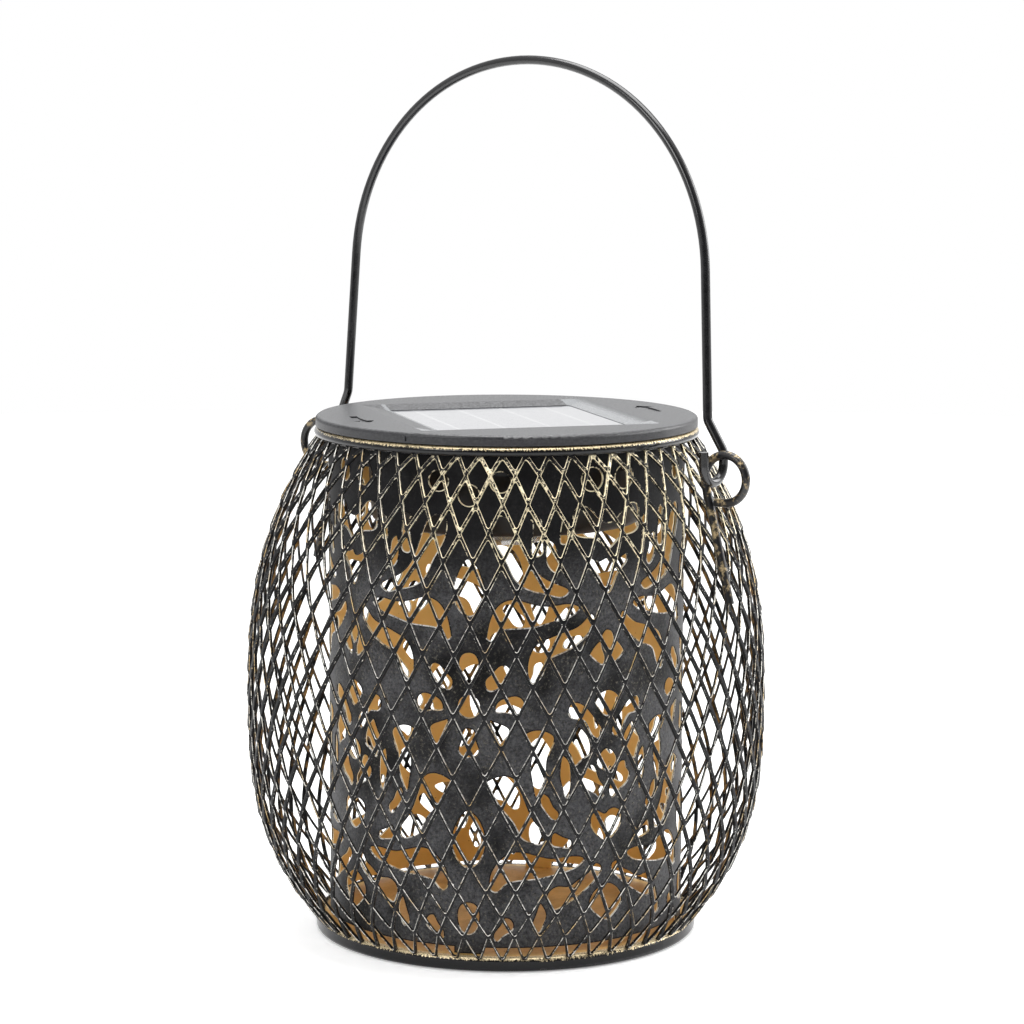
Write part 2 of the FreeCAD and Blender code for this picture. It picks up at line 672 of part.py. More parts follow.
def battery_door():
    """Door in the tub's floor, held by one screw at its ear."""
    door = door_outline(0).cut(box((-30, 0, TUB_BOTTOM - 2), (30, 40, TUB_BOTTOM)))
    return door.cut(Part.makeCylinder(1.25, 4, Vector(0, 29.5, TUB_BOTTOM - 1)))


def door_screw():
    return screw(Vector(0, 29.5, 0), 2.2, TUB_BOTTOM - 1.2, TUB_BOTTOM, 0.95, 126.0)


def battery():
    """Rechargeable cell, lying along X, its button towards +X."""
    along = Vector(1, 0, 0)
    low_x = -BATTERY_LENGTH / 2
    can = Part.makeCylinder(BATTERY_RADIUS, BATTERY_LENGTH - 1,
                            Vector(low_x, BATTERY_Y, BATTERY_Z), along)
    button = Part.makeCylinder(1.9, 1.0, Vector(-low_x - 1, BATTERY_Y, BATTERY_Z), along)
    return can.fuse(button)


def battery_spring():
    """Conical contact spring at the cell's flat end."""
    coil = Part.makeHelix(1.15, 3.45, 3.0, 8)
    coil.rotate(ORIGIN, Vector(0, 1, 0), 90)
    coil.translate(Vector(-26.6, BATTERY_Y, BATTERY_Z))
    first = coil.Edges[0]
    start = first.valueAt(first.FirstParameter)
    section = Part.Wire([Part.Circle(start, first.tangentAt(first.FirstParameter), 0.35).toShape()])
    return Part.Wire(coil.Edges).makePipeShell([section], True, True)


def battery_contact():
    """Contact plates at the two ends of the cell."""
    low_z, high_z = BATTERY_Z - 4, BATTERY_Z + 4
    plus = box((22.3, 16.5, low_z), (22.9, 24.5, high_z))
    minus = box((-27.5, 16.5, low_z), (-27.0, 24.5, high_z))
    return Part.Compound([plus, minus])


def circuit_board():
    """Charge and dusk-switch board, on two posts above the lamp."""
    return box((-16, -26, BOARD_BOTTOM), (16, 12, BOARD_BOTTOM + BOARD_THICK))


def board_components():
    """The driver chip, the coil, the capacitor and the resistors on the board."""
    top = BOARD_BOTTOM + BOARD_THICK
    chip = box((-4, -16, top), (2, -12, top + 1.5))
    coil = Part.makeCylinder(2.2, 5.0, Vector(8, -14, top))
    capacitor = Part.makeCylinder(2.5, 6.0, Vector(-10, -8, top))
    parts = [chip, coil, capacitor]
    for k in range(4):
        parts.append(box((2 + 3 * k, -4, top), (3.2 + 3 * k, -1.6, top + 0.5)))
    return Part.Compound(parts)


def led():
    """Domed lamp under the board, pointing down into the lens."""
    dome = Part.makeSphere(2.5, Vector(0, 0, 119.2))
    body = Part.makeCylinder(2.5, 3.4, Vector(0, 0, 119.2))
    rim = Part.makeCylinder(2.9, 0.8, Vector(0, 0, 121.8))
    legs = [Part.makeCylinder(0.25, BOARD_BOTTOM - 122.6, Vector(x, 0, 122.6))
            for x in (-1.27, 1.27)]
    return dome.fuse([body, rim] + legs).removeSplitter()


def led_lens():
    """Clear cup with twelve facets, flanged where it sits on the tub's floor."""
    inside_z = TUB_BOTTOM + TUB_FLOOR

    def ring(radius, z):
        points = [at(radius, 30 * k, z) for k in range(12)]
        return Part.makePolygon(points + points[:1])

    body = Part.Face(ring(LENS_RADIUS, 117.4)).extrude(UP * (inside_z - 117.4))
    nose = Part.makeLoft([ring(9.6, LENS_TIP_Z), ring(LENS_RADIUS, 117.4)], True, True)
    flange = Part.makeCylinder(14.2, 1.0, Vector(0, 0, inside_z))
    cup = body.fuse([nose, flange])
    return cup.cut(Part.makeCylinder(8.4, 10, Vector(0, 0, 115.0))).removeSplitter()


def switch_body():
    """Slide switch above its slot in the tub's floor."""
    inside_z = TUB_BOTTOM + TUB_FLOOR
    body = box((-6, SWITCH_Y - 3, inside_z), (6, SWITCH_Y + 3, inside_z + 5))
    cavity = box((-SLOT_HALF, SWITCH_Y - 1.6, inside_z - 1),
                 (SLOT_HALF, SWITCH_Y + 1.6, inside_z + 2))
    return body.cut(cavity)


def switch_slider():
    """Ribbed slider, which stands out below the tub. It lies at the slot's off end."""
    low_x, high_x = -SLOT_HALF + 0.4, -0.2
    slider = box((low_x, SWITCH_Y - 1.2, TUB_BOTTOM - 1.4), (high_x, SWITCH_Y + 1.2, 122.6))
    for k in range(3):
        x = low_x + 0.5 + 0.8 * k
        slider = slider.cut(box((x, SWITCH_Y - 2, TUB_BOTTOM - 2), (x + 0.3, SWITCH_Y + 2,
                                                                   TUB_BOTTOM - 1.0)))
    return slider


def leads(routes):
    """Insulated wires along their routes."""
    bend = 2.4
    return Part.Compound([
        wire_solid(rounded_route([Vector(*p) for p in route], bend), LEAD_RADIUS)
        for route in routes
    ])


def panel_leads():
    """Two wires from the panel's back, through the tray, to the board."""
    return leads([
        [(x, -12, PANEL_BOTTOM), (x, -12, 138), (x + 4 * way, -20, 133), (x + 4 * way, -20, 125.0)]
        for x, way in ((-0.9, -1), (0.9, 1))
    ])


def battery_leads():
    """Wires from the two contact plates to the board."""
    top = BATTERY_Z + 7.5
    board_top = BOARD_BOTTOM + BOARD_THICK
    return leads([
        [(22.6, 19, BATTERY_Z + 4), (22.6, 19, top), (13, 8.5, top), (13, 8.5, board_top)],
        [(-27.2, 19, BATTERY_Z + 4), (-27.2, 19, top), (-13, 8.5, top), (-13, 8.5, board_top)],
    ])


# ------------------------------------------------------------------------ bail and eyes


def bail_point(x, along):
    """A point of the bail's plane, which stands a little behind the hinge line and leans back.
    along is measured up the plane, and reads as z when the plane stands upright."""
    lean = math.radians(BAIL_LEAN_DEG)
    rise = along - HINGE_Z
    y = HINGE_Y + BAIL_SET_BACK + rise * math.sin(lean)
    return Vector(x, y, HINGE_Z + rise * math.cos(lean))


def bail_half():
    """From the crown down the +X leg, round the hook and up to its tip."""
    def on_arc(centre, radius, degrees):
        turn = math.radians(degrees)
        x = centre[0] + radius * math.sin(turn)
        return bail_point(x, centre[1] + radius * math.cos(turn)), x

    crown = (0, CROWN_Z - CROWN_RADIUS)
    gap = CROWN_RADIUS - SIDE_RADIUS
    bend = math.radians(CROWN_HALF_DEG)
    side = (gap * math.sin(bend), crown[1] + gap * math.cos(bend))
    top = on_arc(crown, CROWN_RADIUS, 0)[0]
    shoulder = on_arc(crown, CROWN_RADIUS, CROWN_HALF_DEG)[0]
    edges = [
        Part.Arc(top, on_arc(crown, CROWN_RADIUS, CROWN_HALF_DEG / 2)[0], shoulder).toShape()
    ]
    leg_top, leg_x = on_arc(side, SIDE_RADIUS, SIDE_END_DEG)
    halfway = on_arc(side, SIDE_RADIUS, (CROWN_HALF_DEG + SIDE_END_DEG) / 2)[0]
    edges.append(Part.Arc(shoulder, halfway, leg_top).toShape())

    leg_top_along = side[1] + SIDE_RADIUS * math.cos(math.radians(SIDE_END_DEG))
    splay = math.tan(math.radians(90 - SIDE_END_DEG))
    joggle_top = bail_point(leg_x + (leg_top_along - JOGGLE_TOP_Z) * splay, JOGGLE_TOP_Z)
    turn = math.radians(HOOK_TURN_DEG)
    reach = Vector(HOOK_RADIUS * math.sin(turn), HOOK_RADIUS * math.cos(turn), 0)
    centre = Vector(HOOK_X, HOOK_Y, HINGE_Z - HOOK_DROP)
    leg = centre + reach
    tip = centre - reach
    edges += rounded_route(
        [leg_top, joggle_top, Vector(leg.x, leg.y, JOGGLE_FOOT_Z), leg], JOGGLE_BEND
    )
    edges.append(Part.Arc(leg, centre - UP * HOOK_RADIUS, tip).toShape())
    edges.append(Part.LineSegment(tip, Vector(tip.x, tip.y, HOOK_TIP_Z)).toShape())
    return wire_solid(edges, BAIL_WIRE)


def mirrored(shape):
    return shape.mirror(ORIGIN, Vector(1, 0, 0))


def bail_handle():
    """Wire bail: an arch on two legs, each joggled out to a hook through its eye."""
    half = bail_half()
    return half.fuse(mirrored(half)).removeSplitter()


def ear():
    """Eye of round wire: a leg welded up the outside of the barrel, curled into a ring in the
    upright plane of the hinge line."""
    centre = Vector(EYE_X, HINGE_Y, EYE_Z)
    foot = Vector(EYE_FOOT_X, HINGE_Y, EYE_FOOT_Z)

    def on_ring(degrees):
        turn = math.radians(degrees)
        return centre + Vector(math.cos(turn), 0, math.sin(turn)) * EYE_RADIUS

    to_centre = centre - foot
    tangent_angle = math.degrees(math.asin(EYE_RADIUS / to_centre.Length))
    heading = math.degrees(math.atan2(to_centre.z, to_centre.x)) + tangent_angle
    start_deg = heading + 90
    end = on_ring(EYE_END_DEG)
    turn = math.radians(EYE_END_DEG)
    run_out = Vector(math.sin(turn), 0, -math.cos(turn)) * (end.x - EYE_END_X)
    edges = [
        Part.LineSegment(foot, on_ring(start_deg)).toShape(),
        Part.Arc(on_ring(start_deg), on_ring((start_deg + EYE_END_DEG) / 2), end).toShape(),
        Part.LineSegment(end, end + run_out).toShape(),
    ]
    return wire_solid(edges, EYE_WIRE)


NODES = {
    "mesh_barrel": mesh_barrel,
    "top_collar": top_collar,
    "pattern_sleeve": pattern_sleeve,
    "base_plate": base_plate,
    "base_ring": base_ring,
    "ear_right": ear,
    "ear_left": lambda: mirrored(ear()),
    "seal_ring": seal_ring,
    "cap_cover": cap_cover,
    "solar_panel": solar_panel,
    "module_housing": module_housing,
    "housing_screws": housing_screws,
    "battery_door": battery_door,
    "door_screw": door_screw,
    "battery": battery,
    "battery_spring": battery_spring,
    "battery_contact": battery_contact,
    "circuit_board": circuit_board,
    "board_components": board_components,
    "led": led,
    "led_lens": led_lens,
    "panel_leads": panel_leads,
    "battery_leads": battery_leads,
    "switch_body": switch_body,
    "switch_slider": switch_slider,
    "bail_handle": bail_handle,
}


def main():
    os.makedirs("parts", exist_ok=True)
    for name, make in NODES.items():
        shape = make()
        shape.exportStep("parts/" + name + ".step")
        print(f"{name}: {len(shape.Solids)} solids, {shape.Volume:.1f} mm3, "
              f"valid {shape.isValid()}, box {shape.BoundBox}", flush=True)


main()
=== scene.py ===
import math
import random

import bmesh
import bpy
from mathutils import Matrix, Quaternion, Vector


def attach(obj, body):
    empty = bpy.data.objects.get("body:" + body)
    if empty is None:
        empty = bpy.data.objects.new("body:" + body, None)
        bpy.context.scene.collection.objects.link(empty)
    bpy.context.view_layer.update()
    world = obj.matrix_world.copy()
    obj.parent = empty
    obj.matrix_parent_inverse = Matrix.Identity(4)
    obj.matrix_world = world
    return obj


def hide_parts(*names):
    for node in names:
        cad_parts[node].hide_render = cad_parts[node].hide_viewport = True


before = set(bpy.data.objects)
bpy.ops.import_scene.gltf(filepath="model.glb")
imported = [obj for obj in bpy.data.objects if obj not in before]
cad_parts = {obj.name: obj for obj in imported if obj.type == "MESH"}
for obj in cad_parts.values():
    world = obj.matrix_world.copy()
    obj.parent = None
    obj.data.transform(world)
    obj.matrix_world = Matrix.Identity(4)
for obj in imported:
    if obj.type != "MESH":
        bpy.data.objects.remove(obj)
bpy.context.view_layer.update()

MM = 0.001

# --- the barrel's shape, as the CAD has it, in millimetres and degrees ---
BARREL_RADIUS = 75.4
END_RADIUS = 55.5
WAIST_Z = 70.0
LOWER_SPAN = 66.5
UPPER_SPAN = 73.5
LOWER_POWER = 3.0
UPPER_POWER = 2.45
DIAMONDS = 54
ROWS = 17
FIRST_ROW_Z = 139.6
LAST_ROW_Z = 10.7
TOP_END_Z = 145.2
FOOT_END_Z = 2.6
FIRST_BOND_DEG = -61.63

# --- the expanded metal's finer form ---
ROW_STEP = 8.5
BOND_RISE = 1.08
BOND_REACH = 0.46
BOND_SWELL = 0.03
CORNER_RADIUS = 0.40
STEP_OUT = 0.30
STEP_SLANT = 0.2
METAL_THICK = 0.85
CHAMFER = 0.15
WOBBLE = 0.13
WOBBLE_SEED = 7

# --- the pierced sleeve, and the worn bead on its cut edges: into the opening, outward ---
SLEEVE_RADIUS = 51.3
SLEEVE_BORE = 50.8
SKIN_NEAR = 0.06
RIM_SECTION = [(0.10, -0.12), (0.04, 0.13), (-0.24, 0.02)]

# --- the solar panel in the lid's recess, which has clear resin on three of its slopes, coloured lighter there as a painted reflection ---
PANEL_TURN = math.radians(52.6)
PANEL_EDGE = 27.0
RESIN_AND_GLARE_FADE = 3.0
RESIN_AND_GLARE_SEAM = 28.0
RECESS_HALF = 34.6
RECESS_MID_Z = 147.2
CELL_PITCH = 13.2
CELL_GAP = 0.6
FINGER_PITCH = 1.8
FINGER_WIDTH = 0.16
LINE_HALF = 0.6

# --- heights between which the barrel's brushing and rubbing grow, partly as painted highlight towards the top, and the sleeve's wear ends, as painted shade under the lid ---
BRUSH_AND_HIGHLIGHT_Z = (95, 137)
RUB_AND_HIGHLIGHT_Z = (95, 135)
LID_SHADE_Z = (100, 124)

# --- camera, in metres and radians: the azimuth is the side of the lantern that it looks at ---
CAMERA_AZIMUTH = math.radians(36.0)
CAMERA_PITCH = 0.1383
CAMERA_ROLL = 0.0028
CAMERA_AWAY = 0.9643
CAMERA_ASIDE = 0.0015885
CAMERA_UP = 0.2557
CAMERA_LENS = 118.37

# How bright the studio is on the camera's side, against 1 elsewhere.
DIM_SIDE = 0.12


# ------------------------------------------------------------------------ expanded metal


def barrel_radius(z):
    """Outer radius of the barrel at height z."""
    if z < WAIST_Z:
        share = ((WAIST_Z - z) / LOWER_SPAN) ** LOWER_POWER
    else:
        share = ((z - WAIST_Z) / UPPER_SPAN) ** UPPER_POWER
    return BARREL_RADIUS - (BARREL_RADIUS - END_RADIUS) * share


def row_heights():
    """Heights of the rows of bonds, from the top, at equal steps along the barrel's wall."""
    steps = 400
    heights = [FIRST_ROW_Z + (LAST_ROW_Z - FIRST_ROW_Z) * k / steps for k in range(steps + 1)]
    along = [0.0]
    for a, b in zip(heights, heights[1:]):
        along.append(along[-1] + math.hypot(b - a, barrel_radius(b) - barrel_radius(a)))
    rows = []
    for k in range(ROWS):
        wanted = along[-1] * k / (ROWS - 1)
        i = min(max(j for j, s in enumerate(along) if s <= wanted + 1e-9), steps - 1)
        share = (wanted - along[i]) / (along[i + 1] - along[i])
        rows.append(heights[i] + (heights[i + 1] - heights[i]) * share)
    return [TOP_END_Z] + rows + [FOOT_END_Z]


def wall_frame(turn_deg, z):
    """Point on the barrel's outside, its outward normal, the way round and the way up."""
    turn = math.radians(turn_deg)
    out = Vector((math.cos(turn), math.sin(turn), 0.0))
    slope = barrel_radius(z + 0.25) - barrel_radius(z - 0.25)
    up = (Vector((0, 0, 0.5)) + out * slope).normalized()
    around = Vector((-math.sin(turn), math.cos(turn), 0.0))
    return out * barrel_radius(z) + Vector((0, 0, z)), around.cross(up), around, up


class Lattice:
    """Expanded metal as outlines of its openings: each outline point has four vertices, from
    the outside to the inside, and the metal lies to the right of an outline's way."""

    def __init__(self):
        self.rows = row_heights()
        self.last = len(self.rows) - 1
        self.places = {}
        self.outlines = []
        self.make_bonds()
        self.make_strands()
        self.make_outlines()

    def wrap(self, k):
        """The column k, counted round the barrel in half diamonds."""
        return k % (2 * DIAMONDS)

    def make_bonds(self):
        """The corner points of every bond: v above, l below, r and c at its right and left.
        Each goes with how many steps it lies inside the barrel's skin."""
        draw = random.Random(WOBBLE_SEED)
        for row, z in enumerate(self.rows):
            for k in range(row % 2, 2 * DIAMONDS, 2):
                turn = FIRST_BOND_DEG + k * 180.0 / DIAMONDS
                base, normal, around, up = wall_frame(turn, z)
                half = math.radians(180.0 / DIAMONDS) * barrel_radius(z)
                lean = math.atan2(half - BOND_REACH, ROW_STEP - BOND_RISE)
                shift = around * draw.uniform(-WOBBLE, WOBBLE)
                shift = shift + up * draw.uniform(-WOBBLE, WOBBLE)
                base = base + shift - normal * draw.uniform(0, WOBBLE)
                tip = CORNER_RADIUS / math.tan(lean)
                dip = CORNER_RADIUS / math.sin(lean) - CORNER_RADIUS
                side = CORNER_RADIUS * math.tan(lean)
                along = Vector((math.sin(lean), math.cos(lean)))
                named = {}
                for name, x, y in (("left", -1, 1), ("mid", 0, 0), ("right", 1, 1)):
                    px = x * along.x * tip
                    py = BOND_RISE + (along.y * tip if y else dip)
                    named["v", name] = (px, py, 0.0)
                    named["l", name] = (px, -py, 2.0)
                for name, y in (("up", 1), ("mid", 0), ("low", -1)):
                    px = BOND_REACH + (along.x * side if y else BOND_SWELL)
                    py = y * along.y * side
                    named["r", name] = (px, py, 1.0 - STEP_SLANT * y)
                    named["c", name] = (-px, py, 1.0 - STEP_SLANT * y)
                for key, (px, py, level) in named.items():
                    point = base + around * px + up * py - normal * (STEP_OUT * level)
                    self.places[(row, k) + key] = (point, normal)

    def ends(self, row, k, way, upper):
        """The two bond corners that one edge of a strand runs between, from its foot up."""
        over = self.wrap(k + way)
        near = "right" if way > 0 else "left"
        far = "left" if way > 0 else "right"
        if upper:
            return (row, k, "v", near), (row - 1, over, "c" if way > 0 else "r", "low")
        return (row, k, "r" if way > 0 else "c", "up"), (row - 1, over, "l", far)

    def make_strands(self):
        """One more point half way along each edge of every strand, on the barrel's curve."""
        for row in range(1, self.last + 1):
            for k in range(row % 2, 2 * DIAMONDS, 2):
                for way in (1, -1):
                    for upper in (True, False):
                        a, b = self.ends(row, k, way, upper)
                        (pa, na), (pb, nb) = self.places[a], self.places[b]
                        normal = (na + nb).normalized()
                        bow = (pa - pb).length * (na - nb).length / 8
                        self.places["s", row, k, way, upper] = ((pa + pb) / 2 + normal * bow, normal)

    def edge(self, row, k, way, upper):
        """The point on one edge of a strand, as a stretch of an outline."""
        return [("s", row, k, way, upper)]

    def corner(self, row, k, part, names):
        """Points round one corner of a bond, as a stretch of an outline."""
        return [(row, self.wrap(k), part, name) for name in names]

    def make_outlines(self):
        """The round of every opening, anticlockwise from outside, and of the two open ends."""
        across, down = ("left", "mid", "right"), ("up", "mid", "low")
        for row in range(1, self.last):
            for k in range(1 - row % 2, 2 * DIAMONDS, 2):
                self.outlines.append(
                    self.corner(row + 1, k, "v", across)
                    + self.edge(row + 1, k, 1, True)
                    + self.corner(row, k + 1, "c", down[::-1])
                    + self.edge(row, self.wrap(k + 1), -1, False)
                    + self.corner(row - 1, k, "l", across[::-1])
                    + self.edge(row, self.wrap(k - 1), 1, False)
                    + self.corner(row, k - 1, "r", down)
                    + self.edge(row + 1, k, -1, True)
                )
        top, foot = [], []
        for k in range(0, 2 * DIAMONDS, 2):
            under = self.wrap(k + 1)
            top += (
                self.corner(0, k, "c", ("low", "mid"))
                + self.corner(0, k, "r", ("mid", "low"))
                + self.edge(1, under, -1, True)
                + self.corner(1, under, "v", across)
                + self.edge(1, under, 1, True)
            )
        for k in range(2 * DIAMONDS - 2 + self.last % 2, -1, -2):
            over = self.wrap(k - 1)
            foot += (
                self.corner(self.last, k, "r", ("up", "mid"))
                + self.corner(self.last, k, "c", ("mid", "up"))
                + self.edge(self.last, k, -1, False)
                + self.corner(self.last - 1, over, "l", across[::-1])
                + self.edge(self.last, self.wrap(k - 2), 1, False)
            )
        self.outlines += [top, foot]

    def build(self, name):
        """The mesh, with how worn and how highlighted each face is in the face attribute "rubbed"."""
        shape = bmesh.new()
        rubbed = shape.faces.layers.float.new("rubbed")
        made = {}
        for outline in self.outlines:
            count = len(outline)
            for i, key in enumerate(outline):
                point, normal = self.places[key]
                back = (point - self.places[outline[i - 1]][0]).cross(normal).normalized()
                on = (self.places[outline[(i + 1) % count]][0] - point).cross(normal).normalized()
                into = back + on
                into = into / max(into.length_squared / 2, 0.6)
                for depth, inset in (
                    (0.0, CHAMFER),
                    (CHAMFER, 0.0),
                    (METAL_THICK - CHAMFER, 0.0),
                    (METAL_THICK, CHAMFER),
                ):
                    spot = point - normal * depth + into * inset
                    made.setdefault(key, []).append(shape.verts.new(spot * MM))
            for a, b in zip(outline, outline[1:] + outline[:1]):
                up_edge = self.looks_up(a, b)
                # painted highlight: walls that face up get more silver and gold and the others less, as
                # if lit from above; the chamfers' share stands for real edge wear
                for depth, wear_and_highlight in ((0, 1.0), (1, 0.45 if up_edge else 0.1), (2, 0.3)):
                    quad = [made[a][depth], made[b][depth], made[b][depth + 1], made[a][depth + 1]]
                    face = shape.faces.new(quad)
                    face[rubbed] = wear_and_highlight if up_edge else wear_and_highlight * 0.6
        for depth in (0, 3):
            for loop in self.flats():
                face = shape.faces.new([made[key][depth] for key in loop])
                face[rubbed] = 0.15 if depth == 0 else 0.0
        bmesh.ops.recalc_face_normals(shape, faces=shape.faces)
        mesh = bpy.data.meshes.new(name)
        shape.to_mesh(mesh)
        shape.free()
        mesh.polygons.foreach_set("use_smooth", [True] * len(mesh.polygons))
        made_object = bpy.data.objects.new(name, mesh)
        bpy.context.scene.collection.objects.link(made_object)
        return made_object

    def looks_up(self, a, b):
        """True where an outline's wall faces up, as along the lower side of an opening."""
        (pa, normal), (pb, _) = self.places[a], self.places[b]
        return normal.cross(pb - pa).z > 0

    def flats(self):
        """Loops of outline points round the flat faces of bonds and strands."""
        for row in range(self.last + 1):
            for k in range(row % 2, 2 * DIAMONDS, 2):
                at = {
                    key[2:]: key
                    for part, names in (
                        ("v", ("left", "mid", "right")),
                        ("l", ("left", "mid", "right")),
                        ("r", ("up", "mid", "low")),
                        ("c", ("up", "mid", "low")),
                    )
                    for key in self.corner(row, k, part, names)
                }
                if row > 0:
                    crown = [at["v", n] for n in ("left", "mid", "right")]
                    yield crown + [at["r", "up"], at["c", "up"]]
                    yield [at["c", "up"], at["r", "up"], at["r", "mid"], at["c", "mid"]]
                    for way in (1, -1):
                        low_a, low_b = self.ends(row, k, way, False)
                        top_a, top_b = self.ends(row, k, way, True)
                        low_m, top_m = ("s", row, k, way, False), ("s", row, k, way, True)
                        yield [low_a, low_m, top_m, top_a]
                        yield [low_m, low_b, top_b, top_m]
                if row < self.last:
                    root = [at["l", n] for n in ("right", "mid", "left")]
                    yield [at["c", "mid"], at["r", "mid"], at["r", "low"], at["c", "low"]]
                    yield [at["c", "low"], at["r", "low"]] + root


# ---------------------------------------------------------------------------- materials


class Finish:
    """One node material round a Principled shader."""

    def __init__(self, name, **constants):
        self.name = name
        self.material = bpy.data.materials.new(name + "_finish")
        self.material.use_nodes = True
        self.nodes = self.material.node_tree.nodes
        self.links = self.material.node_tree.links
        self.nodes.clear()
        self.shader = self.nodes.new("ShaderNodeBsdfPrincipled")
        output = self.nodes.new("ShaderNodeOutputMaterial")
        self.links.new(self.shader.outputs["BSDF"], output.inputs["Surface"])
        for socket, value in constants.items():
            self.shader.inputs[socket.replace("_", " ")].default_value = value
        place = self.nodes.new("ShaderNodeTexCoord")
        self.place = place.outputs["Object"]
        self.facing = place.outputs["Normal"]

    def put(self, socket, value):
        """Links an output, or sets a value, into a node's input."""
        if hasattr(value, "is_linked"):
            self.links.new(value, socket)
        elif hasattr(socket.default_value, "__len__") and len(socket.default_value) == 4:
            socket.default_value = tuple(value) + (1.0,) if len(value) == 3 else value
        else:
            socket.default_value = value

    def noise(self, millimetres, detail=3.0, stretch=None, rough=0.55):
        """Noise from 0 to 1 whose features are about this size."""
        node = self.nodes.new("ShaderNodeTexNoise")
        node.inputs["Scale"].default_value = 1000.0 / millimetres
        node.inputs["Detail"].default_value = detail
        node.inputs["Roughness"].default_value = rough
        place = self.place
        if stretch:
            mapping = self.nodes.new("ShaderNodeMapping")
            mapping.inputs["Scale"].default_value = stretch
            self.links.new(place, mapping.inputs["Vector"])
            place = mapping.outputs["Vector"]
        self.links.new(place, node.inputs["Vector"])
        return node.outputs["Fac"]

    def span(self, value, low, high, to_low=0.0, to_high=1.0):
        """Value eased from low..high to to_low..to_high."""
        node = self.nodes.new("ShaderNodeMapRange")
        node.interpolation_type = "SMOOTHSTEP"
        for name, given in (
            ("Value", value), ("From Min", low), ("From Max", high),
            ("To Min", to_low), ("To Max", to_high),
        ):
            self.put(node.inputs[name], given)
        return node.outputs["Result"]

    def sum(self, operation, a, b=0.0):
        """One of the Math node's operations. COMPARE is true within LINE_HALF."""
        node = self.nodes.new("ShaderNodeMath")
        node.operation = operation
        self.put(node.inputs[0], a)
        self.put(node.inputs[1], b)
        node.inputs[2].default_value = LINE_HALF * MM
        return node.outputs["Value"]

    def dot(self, a, b):
        """Dot product of a vector output with another, or with a fixed vector."""
        node = self.nodes.new("ShaderNodeVectorMath")
        node.operation = "DOT_PRODUCT"
        self.links.new(a, node.inputs[0])
        self.put(node.inputs[1], b)
        return node.outputs["Value"]

    def axis(self, name):
        """One coordinate of the point, in metres."""
        node = self.nodes.new("ShaderNodeSeparateXYZ")
        self.links.new(self.place, node.inputs[0])
        return node.outputs[name]

    def height(self, between, to_low=0.0, to_high=1.0):
        """Eased from to_low to to_high between two heights in millimetres."""
        low, high = between
        return self.span(self.axis("Z"), low * MM, high * MM, to_low, to_high)

    def from_axis(self, operation):
        """LENGTH or NORMALIZE of the level vector from the lantern's axis to the point."""
        level = self.nodes.new("ShaderNodeVectorMath")
        level.operation = "MULTIPLY"
        self.links.new(self.place, level.inputs[0])
        level.inputs[1].default_value = (1.0, 1.0, 0.0)
        node = self.nodes.new("ShaderNodeVectorMath")
        node.operation = operation
        self.links.new(level.outputs["Vector"], node.inputs[0])
        return node.outputs["Value" if operation == "LENGTH" else "Vector"]

    def outwardness(self):
        """How squarely the surface faces away from the lantern's axis: -1 is straight inward."""
        return self.dot(self.facing, self.from_axis("NORMALIZE"))

    def across_panel(self):
        """Distances from the panel's middle along its two sides, in metres."""
        c, s = math.cos(PANEL_TURN), math.sin(PANEL_TURN)
        return self.dot(self.place, (c, s, 0.0)), self.dot(self.place, (-s, c, 0.0))

    def blend(self, share, a, b):
        """Colour a where share is 0 and b where it is 1."""
        node = self.nodes.new("ShaderNodeMix")
        node.data_type = "RGBA"
        self.put(node.inputs["Factor"], share)
        self.put(node.inputs[6], a)
        self.put(node.inputs[7], b)
        return node.outputs[2]

    def colour(self, value):
        self.put(self.shader.inputs["Base Color"], value)

    def rough(self, value):
        self.put(self.shader.inputs["Roughness"], value)

    def metal(self, value):
        self.put(self.shader.inputs["Metallic"], value)

    def bump(self, height, millimetres):
        node = self.nodes.new("ShaderNodeBump")
        node.inputs["Strength"].default_value = 1.0
        node.inputs["Distance"].default_value = millimetres * MM
        self.links.new(height, node.inputs["Height"])
        self.links.new(node.outputs["Normal"], self.shader.inputs["Normal"])


# Base colours that more than one finish uses.
JET = (0.002, 0.002, 0.0025)
BLACK = (0.007, 0.007, 0.008)
SOOT = (0.015, 0.015, 0.017)
GOLD = (0.56, 0.40, 0.19)
CREAM = (0.90, 0.79, 0.54)
OCHRE = (0.94, 0.66, 0.26)
SILVER = (0.74, 0.72, 0.67)

# The side of the lantern that the dry brush went over most, where the gold also stands in for painted
# highlight.
BRUSH_AND_LIGHT_SIDE = (math.cos(math.radians(-35)), math.sin(math.radians(-35)), 0.0)


def brush_and_highlight_share(f):
    """How strongly the gold was laid on by the dry brush: most high on one side, some everywhere; the
    extra on top and on that side is painted highlight.
    """
    side = f.dot(f.place, tuple(c / (BARREL_RADIUS * MM) for c in BRUSH_AND_LIGHT_SIDE))
    side = f.span(side, 0.0, 0.9)
    high = f.height(BRUSH_AND_HIGHLIGHT_Z)
    patches = f.span(f.noise(14.0, 2.0), 0.35, 0.65, 0.55, 1.1)
    return f.sum("MULTIPLY", f.sum("MULTIPLY", side, high), patches)


